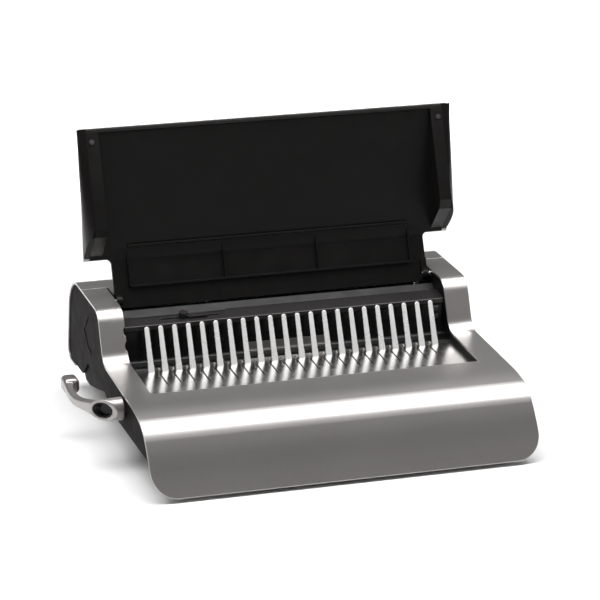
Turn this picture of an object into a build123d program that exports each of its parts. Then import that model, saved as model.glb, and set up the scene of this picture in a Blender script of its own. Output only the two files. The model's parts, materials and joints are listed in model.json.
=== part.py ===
from build123d import *
from math import atan2, cos, degrees, pi, radians, sin, tan
import os

# Comb binding machine, in millimetres. +X is the operator's right, +Y is the back, +Z is up.
# While a piece is drawn, Y is measured back from the foot of the front apron and Z up from the
# table. write_part() then moves it forward by half the depth, so that the origin of the finished
# object is on the table, midway between the apron and the rear wall, on the middle plane.

# Outer casing
BODY_WIDTH = 392.0
BODY_DEPTH = 364.0
HALF = BODY_WIDTH / 2
SKIN = 2.2
SEAM = 0.5
SEAM_Y = 292.0
APRON_BEND_RADIUS = 168.0
FRONT_BEND_RADIUS = 44.5
DECK_BEND_RADIUS = 198.0
STEP_FOOT_RADIUS = 20.0
STEP_TOP_RADIUS = 22.0
REAR_TOP_RADIUS = 45.0
REAR_FOOT_RADIUS = 14.0
APRON_FOOT = (0.0, 4.0)
APRON_BEND = (15.75, 35.6)
FRONT_BEND = (41.04, 63.7)
DECK_BEND = (71.44, 70.13)
STEP_FOOT = (200.5, 76.0)
STEP_TOP = (220.5, 124.5)
REAR_TOP = (349.3, 127.1)
REAR_FOOT = (367.0, 31.0)
REAR_LIP_Y = 333.0
APRON_CORNER_RADIUS = 25.0

# Recess between the shoulders, with the slotted deck plate on its floor
RECESS_HALF = 170.0
RECESS_FRONT = 110.0
RECESS_CORNER_RADIUS = 5.0
DECK_SLOPE = degrees(atan2(STEP_FOOT[1] - DECK_BEND[1], STEP_FOOT[0] - DECK_BEND[0]))
DECK_STEP = 8.0
PLATE_THICKNESS = 1.5
PLATE_REAR = 197.0

# Comb: 21 rings, so 21 hooks and punches, and 22 fingers beside them
PITCH = 14.2875
RINGS = 21
FINGERS = RINGS + 1
FINGER_BASE_Y = 185.2
FINGER_LENGTH = 45.7
FINGER_LEAN = 23.9
FINGER_THICKNESS = 2.0
FINGER_BASE_WIDTH = 5.9
FINGER_TIP_WIDTH = 4.5
SLOT_FRONT = 150.5
SLOT_REAR = 187.0
SLOT_WIDTH = 1.6
HOOK_THICKNESS = 1.0

# Punch
THROAT_FRONT = 239.0
THROAT_REAR = 244.0
DIE_THICKNESS = 6.0
PAPER_STOP_Z = 54.0
PUNCH_Z = 58.5
PUNCH_WIDTH = 7.9
PUNCH_HEIGHT = 2.9
PUNCH_CLEARANCE = 0.06
BAR_FRONT = 277.0
BAR_THICKNESS = 8.0
CAM_AXIS = (304.0, 70.0)
CAM_RADIUS = 9.0
CAM_THROW = 5.0
CAM_GEAR_TEETH = 63
MOTOR_PINION_TEETH = 12
GEAR_MODULE = 1.0

# Inner frame
FRAME_HALF = 160.0
FRAME_THICKNESS = 2.0
SHAFT_RADIUS = 5.0
RUNNING = 0.05

# Lid, drawn closed and then turned open about its hinge line
HINGE = (261.0, 120.0)
HINGE_PIN_RADIUS = 3.0
LID_OPEN_ANGLE = 114.0
LID_HALF = 195.5
LID_FRONT = (88.5, 78.0)
LID_BREAK = (219.0, 124.9)
LID_TAIL = (268.3, 125.6)
LID_SKIN = 1.2
LID_WALL = 2.8

# Comb-opening lever on the left side
LEVER_AXIS = (119.0, 57.0)
LEVER_GEAR_TEETH = 23
IDLER_TEETH = 12
IDLER_DROP = 27.6
HUB_RADIUS = 11.6
HUB_TIP_RADIUS = 10.4


# ---------------------------------------------------------------- drawing helpers

def rounded_face(points, radii):
    """A closed face in the YZ plane with each corner rounded by its own radius."""
    edges = []
    ends = []
    count = len(points)
    for i, (corner, radius) in enumerate(zip(points, radii)):
        before = Vector(*points[i - 1])
        here = Vector(*corner)
        after = Vector(*points[(i + 1) % count])
        if radius == 0:
            ends.append((here, here))
            continue
        to_before = (before - here).normalized()
        to_after = (after - here).normalized()
        half_angle = radians(to_before.get_angle(to_after)) / 2
        reach = radius / tan(half_angle)
        start = here + to_before * reach
        end = here + to_after * reach
        centre = here + (to_before + to_after).normalized() * (radius / sin(half_angle))
        middle = centre + (here - centre).normalized() * radius
        edges.append(ThreePointArc(start, middle, end))
        ends.append((start, end))
    for i in range(count):
        leave = ends[i - 1][1]
        arrive = ends[i][0]
        if (arrive - leave).length > 1e-6:
            edges.append(Line(leave, arrive))
    return Plane.YZ * make_face(Wire(edges))


def inset_outline(points, radii, inset):
    """The corners and radii of a clockwise outline after moving every side inwards."""
    corners = []
    rounds = []
    for i, (corner, radius) in enumerate(zip(points, radii)):
        here = Vector(*corner)
        arriving = (here - Vector(*points[i - 1])).normalized()
        leaving = (Vector(*points[(i + 1) % len(points)]) - here).normalized()
        inward = Vector(arriving.Y + leaving.Y, -arriving.X - leaving.X)
        moved = here + inward * (inset / (1 + arriving.dot(leaving)))
        corners.append((moved.X, moved.Y))
        hollow = arriving.cross(leaving).Z > 0
        if radius > 0:
            radius += inset if hollow else -inset
        rounds.append(max(radius, 0))
    return corners, rounds


def sharp_face(points):
    """A closed face in the YZ plane with straight sides."""
    return Plane.YZ * make_face(Polyline(*points, close=True))


def across(face, x_low, x_high):
    """A YZ face carried along X between two planes."""
    return extrude(Pos(x_low, 0, 0) * face, amount=x_high - x_low, dir=(1, 0, 0))


def block(x_low, x_high, y_low, y_high, z_low, z_high):
    """A rectangular block between its limits."""
    size = Box(x_high - x_low, y_high - y_low, z_high - z_low)
    return Pos((x_low + x_high) / 2, (y_low + y_high) / 2, (z_low + z_high) / 2) * size


def rod_x(centre, radius, x_low, x_high):
    """A round bar along X about a (y, z) centre."""
    bar = Rot(0, 90, 0) * Cylinder(radius, x_high - x_low)
    return Pos((x_low + x_high) / 2, centre[0], centre[1]) * bar


def rod_y(x, z, radius, y_low, y_high):
    """A round bar along Y."""
    return Pos(x, (y_low + y_high) / 2, z) * (Rot(90, 0, 0) * Cylinder(radius, y_high - y_low))


def rod_z(x, y, radius, z_low, z_high):
    """A round bar along Z."""
    return Pos(x, y, (z_low + z_high) / 2) * Cylinder(radius, z_high - z_low)


def mirrored(piece):
    """The same piece on the other side of the middle plane."""
    return mirror(piece, Plane.YZ)


def deck_z(y):
    """Height of the deck's outer surface at a depth."""
    return STEP_FOOT[1] + (y - STEP_FOOT[0]) * tan(radians(DECK_SLOPE))


def on_plate(piece):
    """Carries a piece drawn flat, with the plate's top at height 0, onto the sloping plate."""
    lift = deck_z(RECESS_FRONT) - DECK_STEP
    return Pos(0, RECESS_FRONT, lift) * (Rot(DECK_SLOPE, 0, 0) * (Pos(0, -RECESS_FRONT, 0) * piece))


def turned(piece, centre, angle):
    """A piece turned about a line along X through a (y, z) centre."""
    return Pos(0, centre[0], centre[1]) * (
        Rot(angle, 0, 0) * (Pos(0, -centre[0], -centre[1]) * piece)
    )


def ring_positions():
    """X of each ring, hook and punch."""
    return [(i - (RINGS - 1) / 2) * PITCH for i in range(RINGS)]


def finger_positions():
    """X of each fixed finger."""
    return [(i - (FINGERS - 1) / 2) * PITCH for i in range(FINGERS)]


def spur_gear(centre, teeth, x_low, x_high, phase, bore):
    """A spur gear about a line along X, with one tooth at the phase angle."""
    pitch_radius = GEAR_MODULE * teeth / 2
    tip_radius = pitch_radius + 0.8 * GEAR_MODULE
    root_radius = pitch_radius - 1.1 * GEAR_MODULE
    step = 2 * pi / teeth
    root_half = 0.27 * step
    pitch_half = 0.20 * step
    tip_half = 0.10 * step
    points = []
    for i in range(teeth):
        middle = radians(phase) + i * step
        for radius, shift in (
            (root_radius, -root_half),
            (pitch_radius, -pitch_half),
            (tip_radius, -tip_half),
            (tip_radius, tip_half),
            (pitch_radius, pitch_half),
            (root_radius, root_half),
        ):
            angle = middle + shift
            points.append((centre[0] + radius * cos(angle), centre[1] + radius * sin(angle)))
    wheel = across(sharp_face(points), x_low, x_high)
    return wheel - rod_x(centre, bore, x_low - 1, x_high + 1)


def bearing_angle(start, end):
    """Direction from one (y, z) point to another, in degrees from +Y towards +Z."""
    return degrees(atan2(end[1] - start[1], end[0] - start[0]))


# ---------------------------------------------------------------- casing

def casing_region(inset):
    """The side outline of the casing, moved inwards, and left open below."""
    run = (APRON_BEND[0] - APRON_FOOT[0]) / (APRON_BEND[1] - APRON_FOOT[1])
    below = -31.0
    low_front = (APRON_FOOT[0] + (below - APRON_FOOT[1]) * run, below)
    points = [low_front, APRON_BEND, FRONT_BEND, DECK_BEND, STEP_FOOT, STEP_TOP, REAR_TOP, REAR_FOOT]
    points += [(REAR_LIP_Y, REAR_FOOT[1]), (REAR_LIP_Y, below)]
    radii = [0, APRON_BEND_RADIUS, FRONT_BEND_RADIUS, DECK_BEND_RADIUS]
    radii += [STEP_FOOT_RADIUS, STEP_TOP_RADIUS, REAR_TOP_RADIUS, REAR_FOOT_RADIUS, 0, 0]
    return rounded_face(*inset_outline(points, radii, inset))


def casing_sheet(x_low, x_high):
    """The bent outer sheet, from the apron's foot over the top to the rear lip."""
    sheet = across(casing_region(0) - casing_region(SKIN), x_low, x_high)
    sheet -= block(x_low - 1, x_high + 1, -60, 400, -60, APRON_FOOT[1])
    sheet -= block(x_low - 1, x_high + 1, 25, REAR_LIP_Y, -60, REAR_FOOT[1] + SKIN + 0.5)
    return sheet


def make_front_shell():
    """Apron, deck and both shoulders, bent from one sheet, with the recess cut out of it."""
    shell = casing_sheet(-HALF, HALF)
    shell -= block(-HALF - 1, HALF + 1, SEAM_Y, 400, 0, 200)
    recess = block(-RECESS_HALF, RECESS_HALF, RECESS_FRONT, SEAM_Y + 5, 50, 150)
    front_corners = recess.edges().filter_by(Axis.Z).sort_by(Axis.Y)[:2]
    shell -= fillet(front_corners, RECESS_CORNER_RADIUS)
    # The lower corners of the apron are rounded in the front view.
    radius = APRON_CORNER_RADIUS
    low = APRON_FOOT[1]
    corner = block(HALF - radius, HALF + 1, -30, 24, low - 1, low + radius)
    corner -= rod_y(HALF - radius, low + radius, radius, -31, 25)
    shell -= corner
    shell -= mirrored(corner)
    # Scallops in the left shoulder's inner edge gauge the diameter of a comb.
    for height in (90.0, 104.0):
        shell -= rod_y(-RECESS_HALF + 5.0, height, 7.0, 196, 224)
    return shell


def rear_vents():
    """Two rows of upright cooling slots through the rear wall."""
    slots = []
    for row_z in (48.0, 66.0):
        for i in range(15):
            x = -150.0 + i * 9.0
            slots.append(block(x - 1.5, x + 1.5, 340, 380, row_z - 6.5, row_z + 6.5))
    return slots


INLET_X = 132.0
SWITCH_X = 96.0
POWER_Z = 58.0


def make_rear_cover():
    """The rear of the casing: shoulder tops, tongue behind the lid, and the rounded rear wall."""
    cover = casing_sheet(-HALF, HALF)
    keep = block(-HALF, HALF, SEAM_Y + SEAM, 400, 0, 200)
    keep += block(-RECESS_HALF + 2, RECESS_HALF - 2, 272.5, SEAM_Y + 2, 0, 200)
    cover &= keep
    for slot in rear_vents():
        cover -= slot
    cover -= block(INLET_X - 14.2, INLET_X + 14.2, 340, 380, POWER_Z - 10.2, POWER_Z + 10.2)
    cover -= block(SWITCH_X - 10.2, SWITCH_X + 10.2, 340, 380, POWER_Z - 7.7, POWER_Z + 7.7)
    return cover


PANEL_OUTER = HALF - 1.5
PANEL_THICKNESS = 2.5
PANEL_INNER = PANEL_OUTER - PANEL_THICKNESS
BELLY_Z = 34.0
SCOOP_FRONT = 208.0
SCOOP_REAR = 296.0
SCOOP_TOP = 51.0


def belly_cutter():
    """What lies under the side panels: a straight edge, a step up and a carrying scoop."""
    points = [(-60, -60), (-60, BELLY_Z), (146, BELLY_Z), (156, 41.0), (196, 42.0)]
    points += [(SCOOP_FRONT + 4, SCOOP_TOP), (SCOOP_REAR - 18, SCOOP_TOP), (SCOOP_REAR + 4, BELLY_Z - 1)]
    points += [(420, BELLY_Z - 1), (420, -60)]
    return rounded_face(points, [0, 0, 5, 5, 5, 6, 9, 9, 0, 0])


def make_side_panel(side):
    """A side panel with a shallow arrow-shaped mark; the left one has a hole for the lever."""
    face = casing_region(SKIN + 0.1) - belly_cutter()
    if side < 0:
        face -= Plane.YZ * (Pos(*LEVER_AXIS) * Circle(SHAFT_RADIUS + 0.6))
    low, high = sorted((side * PANEL_INNER, side * PANEL_OUTER))
    panel = across(face, low, high)
    mark = [(291, 84), (271, 103), (247, 84), (258, 66), (276, 71)]
    mark_low, mark_high = sorted((side * (PANEL_OUTER - 0.7), side * (PANEL_OUTER + 1)))
    return panel - across(sharp_face(mark), mark_low, mark_high)


def make_carry_grip():
    """Finger rest behind the scoop of the right side panel."""
    points = [(199, 58), (303, 58), (307, 36), (298, 27), (280, 27), (236, 36), (210, 43), (199, 46)]
    grip = across(rounded_face(points, [2, 2, 6, 8, 8, 10, 6, 2]), 184.0, PANEL_INNER)
    hollow = [(203, 54), (299, 54), (301, 38), (286, 36), (240, 43), (203, 49)]
    return grip - across(rounded_face(hollow, [2] * 6), 183.0, PANEL_INNER - 3)


PAN_HALF = 164.0
PAN_FRONT = 42.0
PAN_REAR = 331.5
PAN_WALL = 2.5
PAN_FLOOR_TOP = 6.5
TRAY_HALF = 138.0
FEET = [(x, y) for x in (-138.0, 138.0) for y in (62.0, 316.0)]
BASE_SCREWS = [(x, y) for x in (-153.0, 153.0) for y in (206.0, 262.0, 318.0)]


def make_base_pan():
    """The moulded base: a pan on four feet, with a flange that closes the casing's underside."""
    low = 4.0
    top = BELLY_Z + 2.2
    pan = block(-PAN_HALF, PAN_HALF, PAN_FRONT, PAN_REAR, low, top)
    pan = fillet(pan.edges().filter_by(Axis.Z), 5)
    inner = block(
        -PAN_HALF + PAN_WALL, PAN_HALF - PAN_WALL, PAN_FRONT + PAN_WALL, PAN_REAR - PAN_WALL,
        PAN_FLOOR_TOP, top + 1,
    )
    inner = fillet(inner.edges().filter_by(Axis.Z), 1.5)
    flange = block(-PANEL_INNER + 0.2, PANEL_INNER - 0.2, 24.0, REAR_LIP_Y - 1, BELLY_Z, top)
    grip_gap = block(168.0, HALF, 148, 306, 0, 60)
    flange -= grip_gap
    flange -= mirrored(grip_gap)
    pan = pan + flange - inner
    pan -= block(-TRAY_HALF - 1, TRAY_HALF + 1, PAN_REAR - 10, PAN_REAR + 5, 7.0, 31.0)
    for x, y in BASE_SCREWS:
        pan -= rod_z(x, y, 1.7, 0, 10)
    return pan


def make_rubber_feet():
    """Four round feet, slightly domed at the rim."""
    feet = []
    for x, y in FEET:
        foot = rod_z(x, y, 10.0, 0, 4.0)
        feet.append(fillet(foot.edges().sort_by(Axis.Z)[:1], 1.2))
    return feet


def make_base_screws():
    """Pan-head screws that hold the frame's feet to the base."""
    screws = []
    for x, y in BASE_SCREWS:
        head = rod_z(x, y, 3.4, 2.2, 4.0)
        head = fillet(head.edges().sort_by(Axis.Z)[:1], 0.8)
        screw = head + rod_z(x, y, 1.5, 4.0, 8.4)
        screws.append(screw - block(x - 2.2, x + 2.2, y - 0.4, y + 0.4, 1, 2.9))
    return screws


# ---------------------------------------------------------------- recess and comb opener

def make_deck_plate():
    """The polished steel floor of the recess, slotted for the hooks and pierced for the fingers."""
    half = RECESS_HALF - 0.4
    plate = block(-half, half, RECESS_FRONT + 0.3, PLATE_REAR, -PLATE_THICKNESS, 0)
    plate += block(-half, half, RECESS_FRONT + 0.3, RECESS_FRONT + 1.8, -9, 0)
    for x in ring_positions():
        half_slot = SLOT_WIDTH / 2
        slot = block(x - half_slot, x + half_slot, SLOT_FRONT, SLOT_REAR, -5, 5)
        plate -= fillet(slot.edges().filter_by(Axis.Z).sort_by(Axis.Y)[:2], half_slot - 0.05)
    # Bent tabs under the plate hold the guide rods of the hook carrier.
    for x in (-GUIDE_ROD_X, GUIDE_ROD_X):
        for y in (ROD_FRONT, ROD_REAR - PLATE_THICKNESS):
            plate += block(x - 5, x + 5, y, y + PLATE_THICKNESS, GUIDE_ROD_DROP - 4, -0.5)
        plate -= rod_y(x, GUIDE_ROD_DROP, GUIDE_ROD_RADIUS, ROD_FRONT - 1, PLATE_REAR + 1)
    plate = on_plate(plate)
    for x in finger_positions():
        plate -= finger_solid(x, 0.25)
    return plate


def finger_base_z():
    """Height of the deck plate where the fingers stand."""
    return deck_z(FINGER_BASE_Y) - DECK_STEP


def finger_solid(x, clearance):
    """One tapered finger with a rounded tip and a wider foot."""
    base_half = FINGER_BASE_WIDTH / 2 + clearance
    tip_half = FINGER_TIP_WIDTH / 2 + clearance
    step_z = 7.0
    neck_half = base_half - 0.15
    root_z = -12.0
    tip_z = FINGER_LENGTH - FINGER_TIP_WIDTH / 2
    outline = Polyline(
        (-tip_half, tip_z), (-neck_half, step_z), (-base_half, step_z - 0.3), (-base_half, root_z),
        (base_half, root_z), (base_half, step_z - 0.3), (neck_half, step_z), (tip_half, tip_z),
    )
    tip = ThreePointArc((tip_half, tip_z), (0, tip_z + tip_half), (-tip_half, tip_z))
    face = Plane.XZ * make_face(Wire(outline.edges() + tip.edges()))
    thickness = FINGER_THICKNESS + 2 * clearance
    blade = Pos(0, thickness / 2, 0) * extrude(face, amount=thickness)
    if clearance == 0:
        blade = fillet(blade.edges().group_by(SortBy.LENGTH)[-1], 0.5)
        blade -= block(-5, 5, -2 * FINGER_THICKNESS, -0.65 * FINGER_THICKNESS, step_z - 0.45, step_z + 0.45)
    return Pos(x, FINGER_BASE_Y + 1, finger_base_z()) * (Rot(-FINGER_LEAN, 0, 0) * blade)


def make_comb_fingers():
    """The fixed comb: 22 fingers pressed into one rail."""
    return [finger_solid(x, 0) for x in finger_positions()]


def make_finger_rail():
    """The rail under the deck plate that the fingers stand in."""
    half = PITCH * FINGERS / 2 - 3.0
    rail = block(-half, half, -2.5, 2.5, -14.0, -8.0)
    rail = Pos(0, FINGER_BASE_Y + 1, finger_base_z()) * (Rot(-FINGER_LEAN, 0, 0) * rail)
    for finger in make_comb_fingers():
        rail -= finger
    return rail


GUIDE_ROD_X = 158.0
GUIDE_ROD_DROP = -6.0
GUIDE_ROD_RADIUS = 2.0
ROD_FRONT = 128.0
ROD_REAR = 195.0
CARRIER_FRONT = 166.0
CARRIER_REAR = 176.0
RACK_X = (180.0, 187.0)


def idler_axis():
    """Centre of the idler, in mesh with the lever's gear and above the rack."""
    spread = GEAR_MODULE * (LEVER_GEAR_TEETH + IDLER_TEETH) / 2
    return (
        LEVER_AXIS[0] + spread * cos(radians(-IDLER_DROP)),
        LEVER_AXIS[1] + spread * sin(radians(-IDLER_DROP)),
    )


def make_hook_carrier():
    """The sliding bar with 21 thin hooks that pull the comb's rings open."""
    carrier = block(-168, 168, CARRIER_FRONT, CARRIER_REAR, -18.0, -3.0)
    carrier -= block(-155, 155, CARRIER_FRONT + 3, CARRIER_REAR + 1, -15.5, -5.5)
    for x in (-GUIDE_ROD_X, GUIDE_ROD_X):
        carrier -= rod_y(x, GUIDE_ROD_DROP, GUIDE_ROD_RADIUS + RUNNING, CARRIER_FRONT - 1, CARRIER_REAR + 1)
    half = HOOK_THICKNESS / 2
    for x in ring_positions():
        carrier += block(x - half, x + half, CARRIER_FRONT, CARRIER_REAR + 9.5, -5.5, -3.0)
        stem = block(x - half, x + half, CARRIER_REAR + 7.0, CARRIER_REAR + 9.5, -5.5, 4.2)
        beak = block(x - half, x + half, CARRIER_REAR + 4.5, CARRIER_REAR + 9.5, 3.0, 4.2)
        carrier += stem + beak
    return on_plate(carrier)


def rack_gap_y():
    """A depth at which the rack has a gap, so that the idler's lowest tooth sits in it."""
    centre = idler_axis()
    step = 360 / IDLER_TEETH
    start = bearing_angle(LEVER_AXIS, centre) + 180 + step / 2
    offset_angle = (start - DECK_SLOPE - 270 + step / 2) % step - step / 2
    return centre[0] + GEAR_MODULE * IDLER_TEETH / 2 * radians(offset_angle)


def make_hook_racks():
    """Two toothed racks beside the recess that move the hook carrier."""
    centre = idler_axis()
    line_z = centre[1] - GEAR_MODULE * IDLER_TEETH / 2
    step = pi * GEAR_MODULE
    gap = rack_gap_y()
    first = gap - step * 1.5
    teeth = 14
    front = first - 2.0
    rear = CARRIER_REAR
    top = line_z + 0.8 * GEAR_MODULE
    root = line_z - 1.1 * GEAR_MODULE
    base = root - 3.2
    points = [(front, base), (front, root)]
    for i in range(teeth):
        middle = first + i * step
        points.append((middle - 0.27 * step, root))
        points.append((middle - 0.20 * step, line_z))
        points.append((middle - 0.12 * step, top))
        points.append((middle + 0.12 * step, top))
        points.append((middle + 0.20 * step, line_z))
        points.append((middle + 0.27 * step, root))
    points += [(rear, root), (rear, base)]
    rack = across(sharp_face(points), RACK_X[0], RACK_X[1])
    # An arm joins the rack to the underside of the hook carrier, passing below the cheek.
    arm = block(160.0, RACK_X[0], CARRIER_FRONT + 1, CARRIER_REAR, base, root)
    arm += block(160.0, 167.5, CARRIER_FRONT + 1, CARRIER_REAR, base, root + 15)
    rack = turned(rack + arm, centre, DECK_SLOPE) - make_hook_carrier()
    rack = rack.solids().sort_by(SortBy.VOLUME)[-1]
    return [rack, mirrored(rack)]


def make_guide_rods():
    """Two round rods that guide the hook carrier."""
    rods = []
    for x in (-GUIDE_ROD_X, GUIDE_ROD_X):
        rods.append(on_plate(rod_y(x, GUIDE_ROD_DROP, GUIDE_ROD_RADIUS, ROD_FRONT - 1, ROD_REAR + 1)))
    return rods


def cheek_region():
    """Side outline of the wall that closes a shoulder towards the recess."""
    face = casing_region(SKIN + 0.1)
    front = RECESS_FRONT + 0.3
    rear = SEAM_Y - 2
    lobe_z = 43.6
    low_z = 56.0
    window = sharp_face([
        (front, lobe_z), (148, lobe_z), (152, low_z), (rear, low_z), (rear, 150), (front, 150),
    ])
    return face & window


CHEEK_OUTER = RECESS_HALF + 2.0


def make_cheek():
    """The right cheek: the black wall between the recess and the right shoulder."""
    cheek = across(cheek_region(), RECESS_HALF, CHEEK_OUTER)
    cheek -= rod_x(LEVER_AXIS, 7.0, RECESS_HALF - 1, CHEEK_OUTER + 1)
    return cheek - rod_x(HINGE, HINGE_PIN_RADIUS + 0.1, RECESS_HALF - 1, CHEEK_OUTER + 1)


def make_recess_trim():
    """The black lip that closes the gap between the deck's edge and the deck plate."""
    top = deck_z(RECESS_FRONT) - SKIN - 0.3
    return block(-CHEEK_OUTER, CHEEK_OUTER, RECESS_FRONT - 1.8, RECESS_FRONT, 58.0, top)


TROUGH_FOOT = (197.5, 66.8)
TROUGH_BACK = (215.0, 100.5)


def trough_face(thickness):
    """Section of the curved wall behind the fingers."""
    points = [(TROUGH_FOOT[0], 68.2), (209.5, 70.5), (215.5, 82.0), (217.0, TROUGH_BACK[1])]
    points += [(217.0 + thickness, TROUGH_BACK[1]), (217.5 + thickness, 81.0)]
    points += [(211.5, 70.5 - thickness), (TROUGH_FOOT[0], 68.2 - thickness)]
    return rounded_face(points, [0, 8, 14, 0, 0, 14, 8, 0])


STRIP_HALF = 45.0
BUTTON_X = 159.0
BUTTON_HEIGHTS = (96.5, 88.5)


def make_trough():
    """The hollow black wall that a comb's rings rest against."""
    wall = across(trough_face(2.0), -RECESS_HALF + 0.3, RECESS_HALF - 0.3)
    wall -= make_trough_strip()
    for height in BUTTON_HEIGHTS:
        wall -= block(BUTTON_X - 4.3, BUTTON_X + 4.3, 208, 224, height - 2.8, height + 2.8)
    return wall


def make_trough_strip():
    """A narrow bright strip that follows the foot of the trough in the middle."""
    wall = across(trough_face(2.0), -STRIP_HALF, STRIP_HALF)
    strip = Pos(0, -0.6, 0) * wall - wall
    return strip & block(-STRIP_HALF, STRIP_HALF, 200, 222, 71.5, 79.5)


def make_button(height):
    """One key on the right end of the trough, with its stem and its stop flange."""
    cap = block(BUTTON_X - 4.0, BUTTON_X + 4.0, 213.2, 221.0, height - 2.5, height + 2.5)
    cap = fillet(cap.edges().sort_by(Axis.Y)[:4], 0.8)
    return cap + block(BUTTON_X - 5.6, BUTTON_X + 5.6, 221.0, 222.4, height - 3.4, height + 3.4)


def make_button_board():
    """The small board with the two switches behind the keys."""
    board = block(BUTTON_X - 9.0, BUTTON_X + 9.0, 228.6, 230.2, 84.0, 99.8)
    for height in BUTTON_HEIGHTS:
        board += block(BUTTON_X - 3.0, BUTTON_X + 3.0, 225.4, 228.6, height - 2.6, height + 2.6)
    return board


def make_comb_gauge():
    """A scalloped gauge plate inside the left cheek for choosing a comb."""
    points = [(222, 84), (236, 84), (236, 99), (222, 99)]
    plate = across(rounded_face(points, [1, 1, 1, 1]), -RECESS_HALF + 0.3, -RECESS_HALF + 2.3)
    for y, radius in ((225.5, 2.0), (231.0, 3.0)):
        plate -= rod_x((y, 99.5), radius, -RECESS_HALF, -RECESS_HALF + 3)
    return plate


# ---------------------------------------------------------------- throat and punch

def make_throat_bar():
    """The satin bar above the fingers, which forms the front of the paper slot."""
    front = (217.0, 106.0)
    rear = (THROAT_FRONT, 110.0)
    points = [front, rear, (THROAT_FRONT, 100.2), (236.0, 100.2), (236.0, 105.0), (220.0, 102.2)]
    points += [(219.6, 100.8), (217.0, 100.8)]
    half = RECESS_HALF - 0.4
    bar = across(rounded_face(points, [1.5, 1.5, 0, 0.5, 1, 1, 0, 0.8]), -half, half)
    # A shallow bay in front of the paper lets the edge guide reach the sheets.
    bay = block(GUIDE_X - 60, GUIDE_X + 40, 233.0, THROAT_FRONT + 1, 107.4, 120)
    bay = fillet(bay.edges().filter_by(Axis.Z).sort_by(Axis.Y)[:2], 5.5)
    bar -= bay
    slot = block(GUIDE_X - 30, GUIDE_X + 30, 226.6, 228.8, 100, 115)
    return bar - slot


GUIDE_X = -99.0


def make_edge_guide():
    """The sliding paper guide: a low paddle with a raised diamond knob and a keel in the slot."""
    slope = degrees(atan2(4.0, 22.0))
    paddle = block(GUIDE_X - 4, GUIDE_X + 19, 224.0, 231.5, 0.15, 2.2)
    paddle = fillet(paddle.edges().filter_by(Axis.Z), 3.5)
    knob = Pos(GUIDE_X - 7, 228.0, 0) * (Rot(0, 0, 45) * Box(7.5, 7.5, 6.0))
    knob = Pos(0, 0, 3.15) * fillet(knob.edges().filter_by(Axis.Z), 1.2)
    body = turned(Pos(0, 0, 108.0) * (paddle + knob), (228.0, 108.0), slope)
    keel = block(GUIDE_X - 10, GUIDE_X + 10, 227.0, 228.4, 103.0, 110.0)
    return body + keel


def punch_window(x):
    """The hole at x that one punch slides through in the die and the stripper plate."""
    half_width = PUNCH_WIDTH / 2 + PUNCH_CLEARANCE
    low = PUNCH_Z - PUNCH_HEIGHT / 2 - PUNCH_CLEARANCE
    high = PUNCH_Z + PUNCH_HEIGHT / 2 + PUNCH_CLEARANCE
    return block(x - half_width, x + half_width, THROAT_FRONT - 10, THROAT_REAR + 10, low, high)


def make_die_plate():
    """The hardened die in front of the paper slot."""
    plate = block(-FRAME_HALF + 1.1, FRAME_HALF - 1.1, THROAT_FRONT - DIE_THICKNESS, THROAT_FRONT, 44, 100)
    for x in ring_positions():
        plate -= punch_window(x)
    return plate


def make_stripper_plate():
    """The plate behind the paper slot, which guides the punches and strips the paper off them."""
    plate = block(-FRAME_HALF + 1.1, FRAME_HALF - 1.1, THROAT_REAR, THROAT_REAR + DIE_THICKNESS, 44, 100)
    for x in ring_positions():
        plate -= punch_window(x)
    return plate


def make_paper_stop():
    """The bar at the foot of the slot that the sheets stand on."""
    return block(-FRAME_HALF + 1.5, FRAME_HALF - 1.5, THROAT_FRONT, THROAT_REAR, 44, PAPER_STOP_Z)


def make_rear_guide():
    """The sloping lead-in behind the mouth of the slot."""
    points = [(THROAT_REAR, 100.1), (THROAT_REAR, 106), (252.5, 112), (254.5, 112), (254.5, 100.1)]
    return across(rounded_face(points, [0, 2, 1, 1, 0]), -RECESS_HALF + 0.4, RECESS_HALF - 0.4)


def make_punch_pins():
    """Twenty-one flat punches, each with its own place in the pressure bar."""
    pins = []
    half_width = PUNCH_WIDTH / 2
    half_height = PUNCH_HEIGHT / 2
    rear = BAR_FRONT + BAR_THICKNESS
    for x in ring_positions():
        pins.append(block(
            x - half_width, x + half_width, THROAT_REAR + 2, rear,
            PUNCH_Z - half_height, PUNCH_Z + half_height,
        ))
    return pins


PUNCH_GUIDE_X = 146.0
PUNCH_GUIDE_Z = 78.0


def make_punch_bar():
    """The pressure bar that the cams push and that carries the punches."""
    bar = block(-154, 154, BAR_FRONT, BAR_FRONT + BAR_THICKNESS, 50, 86)
    for x in ring_positions():
        half_width = PUNCH_WIDTH / 2 + 0.02
        half_height = PUNCH_HEIGHT / 2 + 0.02
        bar -= block(x - half_width, x + half_width, 270, 290, PUNCH_Z - half_height, PUNCH_Z + half_height)
    for x in (-PUNCH_GUIDE_X, PUNCH_GUIDE_X):
        bar -= rod_y(x, PUNCH_GUIDE_Z, 4.0 + RUNNING, 270, 290)
    return bar


def make_pin_keeper():
    """The strip screwed behind the bar that keeps the punches in it."""
    rear = BAR_FRONT + BAR_THICKNESS
    return block(-154, 154, rear, rear + 2.0, 53, 66)


def make_punch_guides():
    """Two posts on the stripper plate that the pressure bar slides on."""
    front = THROAT_REAR + DIE_THICKNESS
    return [rod_y(x, PUNCH_GUIDE_Z, 4.0, front, 290.0) for x in (-PUNCH_GUIDE_X, PUNCH_GUIDE_X)]


def make_camshaft():
    """The shaft across the frame that carries the three cams and the large gear."""
    return rod_x(CAM_AXIS, SHAFT_RADIUS, -165, 172)


CAM_POSITIONS = (-110.0, 0.0, 110.0)


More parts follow.
